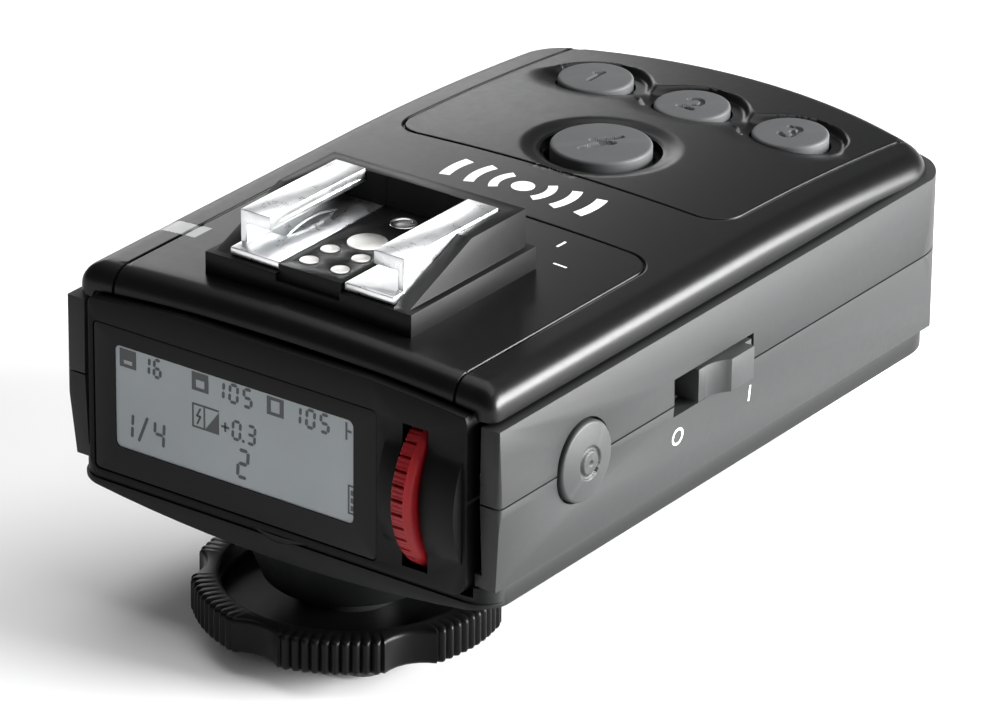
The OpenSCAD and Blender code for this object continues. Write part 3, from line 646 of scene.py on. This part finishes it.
# Radius and height pairs of the wheel's section, from its left face to its right.
dial_profile = [(1.52, 0.0), (8.6, 0.0), (9.1, 0.03), (9.4, 0.16), (9.55, 0.3), (9.6, 0.5), (9.6, 1.1),
                (9.6, 1.66), (9.58, 1.74), (9.45, 1.84), (9.3, 2.05), (9.12, 2.26), (8.9, 2.37),
                (8.5, 2.4), (1.52, 2.4), (1.52, 0.0)]
verts, faces = revolve(dial_profile, DIAL_GROOVES * 16, (DIAL_X, DIAL_Y, DIAL_Z), "x", dial_radius)
make("wheel_red", verts, faces, "select_wheel", stands=True, sharp=40)


# ---------------------------------------------------------------- lock wheel

LOCK_FOOT = box_mm("lock_wheel")[0][2]
LOCK_R, LOCK_RIBS = 16.2, 96
SCALLOP_R, SCALLOP_AT = 4.7, 19.6           # radius of the six scallops, and how far out their middles are


def lock_outline(a):
    """Radius of the rim at an angle: ribbed lobes between smooth scallops."""
    turn = math.radians(math.degrees(a) % 60 - 30)
    side = SCALLOP_AT * math.sin(turn)
    scallop = LOCK_R
    if abs(side) < SCALLOP_R:
        scallop = SCALLOP_AT * math.cos(turn) - math.sqrt(SCALLOP_R ** 2 - side ** 2)
    gap = abs(scallop - LOCK_R)
    blend = max(0.3 - gap, 0) / 0.3
    r = min(scallop, LOCK_R) - blend * blend * 0.075
    if scallop > LOCK_R - 0.02:
        rib = 0.5 - 0.5 * math.cos(LOCK_RIBS * a)
        r -= 0.38 * (1 - rib ** 0.5)
    return r


def lock_radius(r, h, a):
    """Radius of the wheel's profile at an angle. Only the outer part is shaped."""
    if r < 14:
        return r
    return lock_outline(a) - (LOCK_R - r)


# Radius and height pairs: the ring with its recessed web.
lock_profile = [(5.58, 0.85), (13.3, 0.85), (13.3, 0.0), (15.7, 0.0), (16.0, 0.12), (16.15, 0.35),
                (16.2, 0.55), (16.2, 1.95), (16.2, 3.35), (16.15, 3.6), (16.0, 3.8), (15.75, 3.9),
                (13.55, 3.9), (13.38, 3.84), (13.3, 3.7), (13.3, 2.1), (13.1, 1.92), (12.9, 1.9),
                (5.58, 1.9), (5.58, 0.85)]
verts, faces = revolve(lock_profile, 1152, (0, 0, LOCK_FOOT), "z", lock_radius)
make("lock_ring", verts, faces, "lock_wheel", stands=True, sharp=45)


# ---------------------------------------------------------------- display

(WINDOW_X0, WINDOW_FRONT, WINDOW_Z0), (WINDOW_X1, WINDOW_BACK, WINDOW_Z1) = box_mm("display_window")
GLASS_FRONT = WINDOW_FRONT - 0.03
RIM_BACK = WINDOW_BACK - 0.1
LCD_X0, LCD_X1, LCD_Z0, LCD_Z1 = -20.2, 9.8, 18.9, 30.2
LCD_W, LCD_H = LCD_X1 - LCD_X0, LCD_Z1 - LCD_Z0
LCD_Y = GLASS_FRONT + 0.12


def rounded_loop(x0, x1, z0, z1, r, y):
    """Rounded rectangle in the plane at y."""
    loop = []
    corners = ((x1 - r, z0 + r, -90), (x1 - r, z1 - r, 0), (x0 + r, z1 - r, 90), (x0 + r, z0 + r, 180))
    for cx, cz, start in corners:
        loop += arc_points(cx, cz, r, start, start + 90, 6)
    return [(x, y, z) for x, z in loop]


def sleeve(loops):
    """Walls between equal-length loops of points, the last joined to the first."""
    verts, faces = [], []
    n = len(loops[0])
    for loop in loops:
        verts += loop
    rows = len(loops)
    for k in range(rows):
        a, b = k * n, ((k + 1) % rows) * n
        for i in range(n):
            j = (i + 1) % n
            faces.append((a + i, a + j, b + j, b + i))
    return verts, faces


loops = []
for inset, r, y in ((0, 0.6, RIM_BACK), (0, 0.6, GLASS_FRONT + 0.15), (0.05, 0.55, GLASS_FRONT + 0.04),
                    (0.16, 0.45, GLASS_FRONT)):
    loops.append(rounded_loop(WINDOW_X0 + inset, WINDOW_X1 - inset,
                              WINDOW_Z0 + inset, WINDOW_Z1 - inset, r, y))
for y in (GLASS_FRONT, RIM_BACK):
    loops.append(rounded_loop(LCD_X0, LCD_X1, LCD_Z0, LCD_Z1, 0.7, y))
verts, faces = sleeve(loops)
make("window_border", verts, faces, "display_window", mat=MATS["window_border"], stands=True)

steps_u, steps_v, hidden = 60, 24, 0.1
verts, faces = [], []
for j in range(steps_v + 1):
    for i in range(steps_u + 1):
        verts.append((LCD_X0 - hidden + (LCD_W + 2 * hidden) * i / steps_u, LCD_Y,
                      LCD_Z0 - hidden + (LCD_H + 2 * hidden) * j / steps_v))
for j in range(steps_v):
    for i in range(steps_u):
        a = j * (steps_u + 1) + i
        faces.append((a, a + 1, a + steps_u + 2, a + steps_u + 1))
make("lcd_view", verts, faces, "lcd_panel", mat=MATS["lcd_face"])


def stroke_quad(a, b, half):
    """Flat bar with clipped ends from a to b."""
    dx, dy = b[0] - a[0], b[1] - a[1]
    length = math.hypot(dx, dy)
    dx, dy = dx / length, dy / length
    px, py = -dy * half, dx * half
    ex, ey = dx * half, dy * half
    return [(a[0] + px, a[1] + py), (a[0] - ex * 0.9, a[1] - ey * 0.9), (a[0] - px, a[1] - py),
            (b[0] - px, b[1] - py), (b[0] + ex * 0.9, b[1] + ey * 0.9), (b[0] + px, b[1] + py)]


SEGMENTS = {"0": "abcdef", "1": "bc", "2": "abged", "3": "abgcd", "4": "fgbc", "5": "afgcd", "6": "afgedc"}
LEAN = 0.06


def digit_bars(char, x, z, w, h, half):
    """Bars of a seven-segment digit."""
    gap = half * 1.3
    mid = h / 2
    ends = {"a": ((0, h), (w, h)), "b": ((w, h), (w, mid)), "c": ((w, mid), (w, 0)), "d": ((0, 0), (w, 0)),
            "e": ((0, 0), (0, mid)), "f": ((0, mid), (0, h)), "g": ((0, mid), (w, mid))}
    bars = []
    for key in SEGMENTS[char]:
        (ax, az), (bx, bz) = ends[key]
        length = math.hypot(bx - ax, bz - az)
        tx, tz = (bx - ax) / length * gap, (bz - az) / length * gap
        strokes = [(x + u + LEAN * v, z + v) for u, v in ((ax + tx, az + tz), (bx - tx, bz - tz))]
        bars.append(stroke_quad(*strokes, half))
    return bars


def slab(polygons, place, thick):
    """Thin raised prints: each polygon becomes a closed plate. place(u, v, w) gives its point."""
    verts, faces = [], []
    for poly in polygons:
        n, base = len(poly), len(verts)
        verts += [place(u, v, 0) for u, v in poly] + [place(u, v, thick) for u, v in poly]
        faces.append(tuple(range(base, base + n))[::-1])
        faces.append(tuple(range(base + n, base + 2 * n)))
        for i in range(n):
            j = (i + 1) % n
            faces.append((base + i, base + j, base + n + j, base + n + i))
    return verts, faces


def rect(u0, v0, u1, v1):
    return [(u0, v0), (u1, v0), (u1, v1), (u0, v1)]


def group_mark(u, level):
    """Boxed group mark: a frame filled down to a level."""
    x, z, w, h = u * LCD_W, TOP_ROW * LCD_H, 2.1, 2.0
    side, edge = 0.5, 0.35
    out = [rect(x, z, x + side, z + h), rect(x + w - side, z, x + w, z + h),
           rect(x + side, z, x + w - side, z + edge), rect(x + side, z + h - edge, x + w - side, z + h)]
    for i in range(3 - level):
        out.append(rect(x + side, z + edge + (h - 2 * edge) * (1 - (i + 1) / 3), x + w - side,
                        z + edge + (h - 2 * edge) * (1 - i / 3)))
    return out


def number(text, u, v, w, h, pitch, half):
    """Digits and signs from left to right. u and v place them as shares of the display."""
    out, x, z = [], u * LCD_W, v * LCD_H
    for char in text:
        if char == ".":
            out.append(rect(x - 0.22, z - 0.12, x + 0.08, z + 0.18))
            x += 0.42
            continue
        if char == "/":
            out.append(stroke_quad((x + 0.05, z), (x + w, z + h), half))
        elif char == "+":
            bar_z = z + h * 0.42
            out.append(rect(x, bar_z, x + 1.0, bar_z + 0.24))
            out.append(rect(x + 0.38, bar_z - 0.38, x + 0.62, bar_z + 0.62))
        else:
            out += digit_bars(char, x, z, w, h, half)
        x += pitch
    return out


def compensation_mark(x, z):
    """Box with a bolt on the left and a filled wedge on the right."""
    w, h, line = 3.4, 2.7, 0.2
    bolt = [(x + 1.05, z + 2.2), (x + 0.6, z + 1.35), (x + 1.05, z + 1.35), (x + 0.65, z + 0.5)]
    return [rect(x, z, x + w, z + line), rect(x, z + h - line, x + w, z + h),
            rect(x, z + line, x + line, z + h - line),
            rect(x + 1.45, z + line, x + 1.65, z + h - line),
            [(x + 1.7, z + line), (x + w, z + line), (x + w, z + h - 0.25)],
            *(stroke_quad(a, b, 0.11) for a, b in polyline(bolt))]


def cell_mark(x, z):
    """Outline of a cell at the display's edge, with three charge bars."""
    w, h, line = 0.75, 3.2, 0.2
    return [rect(x, z, x + line, z + h), rect(x + line, z, x + w, z + line),
            rect(x + line, z + h - line, x + w, z + h),
            *(rect(x + 0.35, z + 0.4 + 0.85 * i, x + w, z + 0.95 + 0.85 * i) for i in range(3))]


TOP_ROW = 0.80
prints = []
for box_u, level, text, text_u, w, pitch in ((0.018, 1, "16", 0.115, 0.8, 1.45),
                                             (0.325, 2, "105", 0.425, 0.95, 1.75),
                                             (0.64, 3, "105", 0.745, 0.95, 1.75)):
    prints += group_mark(box_u, level) + number(text, text_u, TOP_ROW, w, 1.9, pitch, 0.17)
tick_x, tick_z = 0.965 * LCD_W, TOP_ROW * LCD_H
prints += [rect(tick_x, tick_z, tick_x + 0.24, tick_z + 1.9),
           rect(tick_x + 0.24, tick_z + 0.85, 0.99 * LCD_W, tick_z + 1.1)]
prints += number("1/4", 0.028, 0.12, 1.15, 2.75, 2.0, 0.17)
prints += number("+0.3", 0.448, 0.45, 0.9, 1.95, 1.42, 0.16)
prints += number("2", 0.515, 0.095, 1.2, 3.0, 2.0, 0.19)
prints += compensation_mark(0.325 * LCD_W, 0.435 * LCD_H)
prints += cell_mark(0.975 * LCD_W, 0.09 * LCD_H)
verts, faces = slab(prints, lambda u, v, w: (LCD_X0 + u, LCD_Y - 0.01 - w, LCD_Z0 + v), 0.02)
make("lcd_segments", verts, faces, "lcd_panel", mat=MATS["lcd_segment"])


# ---------------------------------------------------------------- printed marks

def ring_band(cx, cy, r0, r1, a0, a1, n):
    """Part of a ring, as one outline."""
    return arc_points(cx, cy, r1, a0, a1, n) + arc_points(cx, cy, r0, a1, a0, n)


MARK_Y = 29.5
mark = []
for side in (0, 180):
    for r0, r1, half in ((2.6, 3.6, 38), (5.2, 6.3, 24), (8.1, 9.3, 15)):
        mark.append(ring_band(0, MARK_Y, r0, r1, side - half, side + half, 12))
mark.append(arc_points(0, MARK_Y, 1.25, 0, 345, 23))
mark += [rect(11.3, 19.5, 11.55, 21.0), rect(13.4, 16.0, 15.0, 16.25)]
verts, faces = slab(mark, lambda u, v, w: (u, v, cover_height(u, v) + 0.004 + w), 0.016)
make("printed_wave_mark", verts, faces, "top_cover", mat=MATS["print_white"])

SHELL_HW = box_mm("upper_shell")[1][0]
SHELL_FOOT, SEAM_Z, RIM_Z = 15.9, 25.3, 33.6


def side_x(z):
    """Half width of the shells at a height: widest at the seam."""
    if z < SEAM_Z:
        return SHELL_HW - 0.8 * (SEAM_Z - z) / (SEAM_Z - SHELL_FOOT)
    return SHELL_HW - 0.2 * (z - SEAM_Z) / (RIM_Z - SEAM_Z)


on_y, off_y, mark_z = 32.2, 19.3, 21.4
switch_marks = [rect(on_y - 0.14, mark_z - 0.9, on_y + 0.14, mark_z + 0.9)]
for start in (0, 180):
    switch_marks.append(ring_band(off_y, mark_z, 0.72, 0.98, start + 0.3, start + 179.7, 14))
verts, faces = slab(switch_marks, lambda u, v, w: (side_x(v) + 0.004 + w, u, v), 0.015)
make("printed_switch_marks", verts, faces, "lower_shell", mat=MATS["print_white"])


# ---------------------------------------------------------------- CAD nodes, kept or with rounded edges

for name, node in NODES.items():
    node.data.materials.clear()
    node.data.materials.append(MATS[SLOT_OF[name]])

# Radius of each node's rounded edges, in millimetres.
SOFT = {"upper_shell": 0.22, "lower_shell": 0.22, "base_plate": 0.18, "front_panel": 0.22, "shoe_base": 0.2,
        "shoe_rails": 0.1, "shoe_deck": 0.08, "power_slider": 0.25, "pedestal": 0.3, "battery_door": 0.15,
        "centre_contact": 0.12, "side_contacts": 0.1, "foot_plate": 0.25, "foot_stem": 0.15,
        "clamp_washer": 0.12}
for name, width in SOFT.items():
    soften(name, width)


# ---------------------------------------------------------------- floor, light, camera

FLOOR = 3
floor_mesh = bpy.data.meshes.new("floor")
floor_mesh.from_pydata([(-FLOOR, -FLOOR, 0), (FLOOR, -FLOOR, 0), (FLOOR, FLOOR, 0), (-FLOOR, FLOOR, 0)],
                       [], [(0, 1, 2, 3)])
floor = bpy.data.objects.new("floor", floor_mesh)
floor.location.z = -0.0005
scene.collection.objects.link(floor)
floor_mat, tree, shader = new_material("studio_floor")
tree.links.new(mix_colour(tree, noise(tree, 3, 2), (0.86, 0.86, 0.86), (0.88, 0.88, 0.88)),
               shader.inputs["Base Color"])
shader.inputs["Roughness"].default_value = 0.8
floor_mesh.materials.append(floor_mat)


MIDDLE = Vector((0.0, 0.027, 0.022))


def area_light(name, spot, size, power):
    """A soft panel in metres and watts, turned to the middle of the case."""
    data = bpy.data.lights.new(name, "AREA")
    data.shape = "RECTANGLE"
    data.size, data.size_y = size
    data.energy = power
    lamp = bpy.data.objects.new(name, data)
    lamp.location = spot
    lamp.rotation_euler = (MIDDLE - Vector(spot)).to_track_quat("-Z", "Y").to_euler()
    scene.collection.objects.link(lamp)


area_light("soft_right", (0.75, 0.45, 0.12), (0.7, 0.5), 62)
area_light("soft_back", (-0.75, 0.72, 0.30), (0.5, 0.25), 1.6)
area_light("soft_top", (0.0, 0.3, 1.3), (1.6, 1.2), 17)
world = bpy.data.worlds.new("studio")
world.use_nodes = True
world.node_tree.nodes["Background"].inputs[0].default_value = (1, 1, 1, 1)
world.node_tree.nodes["Background"].inputs[1].default_value = 0.15
scene.world = world
scene.view_settings.view_transform = "Standard"

AZIMUTH, ELEVATION, ROLL = map(math.radians, (35.663, 24.981, 0.654))
DISTANCE = 0.688012
SENSOR, LENS = 36, 239.19
SHIFT_RIGHT, SHIFT_UP = -0.005879, -0.01927         # of the picture's middle from the middle of the cover
back = Vector((math.sin(AZIMUTH) * math.cos(ELEVATION), -math.cos(AZIMUTH) * math.cos(ELEVATION),
               math.sin(ELEVATION)))
right = Vector((math.cos(AZIMUTH), math.sin(AZIMUTH), 0))
up = back.cross(right)
tilted_right = math.cos(ROLL) * right + math.sin(ROLL) * up
tilted_up = math.cos(ROLL) * up - math.sin(ROLL) * right
aim = Vector((0, 0.0355, 0.0376)) + SHIFT_RIGHT * tilted_right + SHIFT_UP * tilted_up
camera_data = bpy.data.cameras.new("camera")
camera_data.lens = LENS
camera_data.sensor_width = SENSOR
camera_data.clip_end = 20
camera = bpy.data.objects.new("camera", camera_data)
camera.matrix_world = Matrix.Translation(aim + DISTANCE * back) @ Matrix(
    (tilted_right, tilted_up, back)).transposed().to_4x4()
scene.collection.objects.link(camera)
scene.camera = camera
